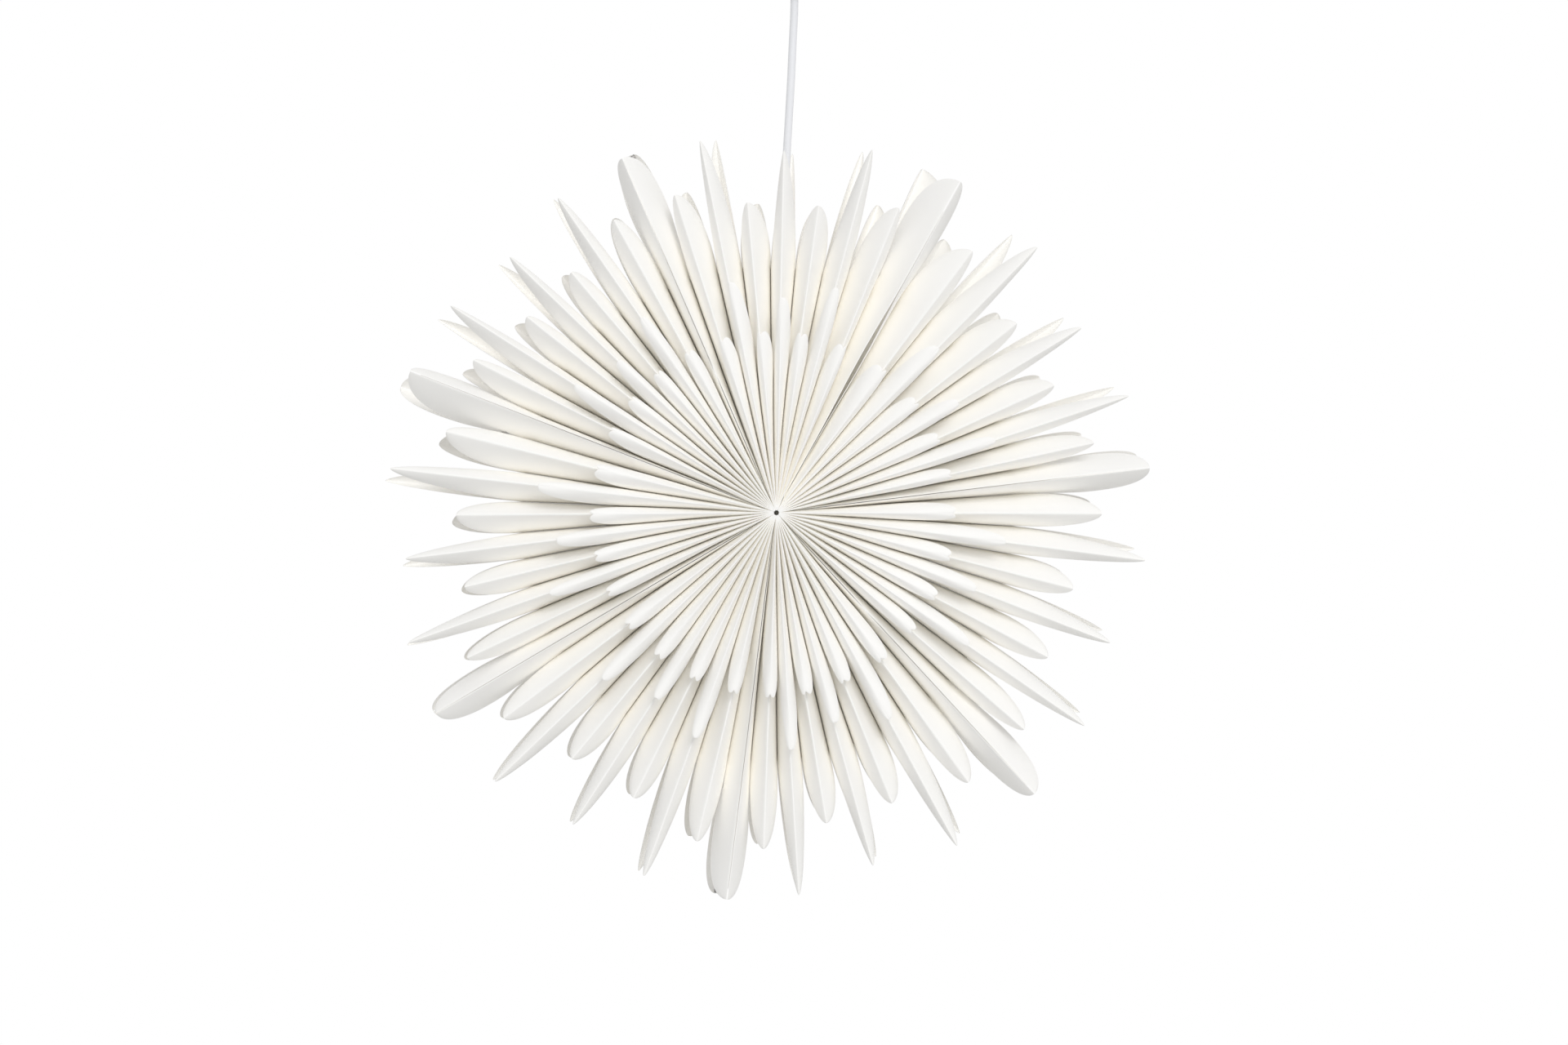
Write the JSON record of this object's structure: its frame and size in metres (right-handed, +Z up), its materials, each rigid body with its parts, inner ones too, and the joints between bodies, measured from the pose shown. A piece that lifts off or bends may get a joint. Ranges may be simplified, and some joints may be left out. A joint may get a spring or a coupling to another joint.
{
  "type": "paper star lamp",
  "caption": "Hanging lamp in the form of a large white star of folded and glued paper, with long and short petals round a bulb, on a round cord from a ceiling cup",
  "frame": {"origin": "on the ceiling, at the middle of the ceiling strap's upper face", "axes": "+Z up to the ceiling, the star faces -Y, +X to the right seen from the front"},
  "size_m": [0.5984, 0.124, 0.7651],
  "materials": {
    "petal_paper": "smooth white card, matt, warm in the folds",
    "stud_metal": "dark pressed metal with a bright ring",
    "bulb_glass": "opal white globe, unlit",
    "holder_plastic": "white moulded plastic",
    "contact_ceramic": "off-white terminal block",
    "cord_sheath": "round white sheath, satin",
    "cup_plastic": "white moulded plastic, satin",
    "strap_steel": "zinc-plated steel"
  },
  "bodies": {
    "root": {"long_petals_1": "petal_paper", "long_petals_2": "petal_paper", "long_petals_3": "petal_paper", "long_petals_4": "petal_paper", "long_petals_5": "petal_paper", "long_petals_6": "petal_paper", "long_petals_7": "petal_paper", "short_petals_1": "petal_paper", "short_petals_2": "petal_paper", "short_petals_3": "petal_paper", "short_petals_4": "petal_paper", "short_petals_5": "petal_paper", "short_petals_6": "petal_paper", "short_petals_7": "petal_paper", "end_sheet_1a": "petal_paper", "end_sheet_1b": "petal_paper", "end_sheet_2a": "petal_paper", "end_sheet_2b": "petal_paper", "end_sheet_3a": "petal_paper", "end_sheet_3b": "petal_paper", "end_sheet_4a": "petal_paper", "end_sheet_4b": "petal_paper", "end_sheet_5a": "petal_paper", "end_sheet_5b": "petal_paper", "end_sheet_6a": "petal_paper", "end_sheet_6b": "petal_paper", "end_sheet_7a": "petal_paper", "end_sheet_7b": "petal_paper", "press_studs": "stud_metal", "bulb": "bulb_glass", "holder_body": "holder_plastic", "holder_cap": "holder_plastic", "contact_block": "contact_ceramic", "holder_grip": "holder_plastic", "cord": "cord_sheath", "cup_grip": "holder_plastic", "grip_nut": "holder_plastic", "ceiling_cup": "cup_plastic", "ceiling_strap": "strap_steel", "cup_screws": "strap_steel"}
  },
  "joints": []
}
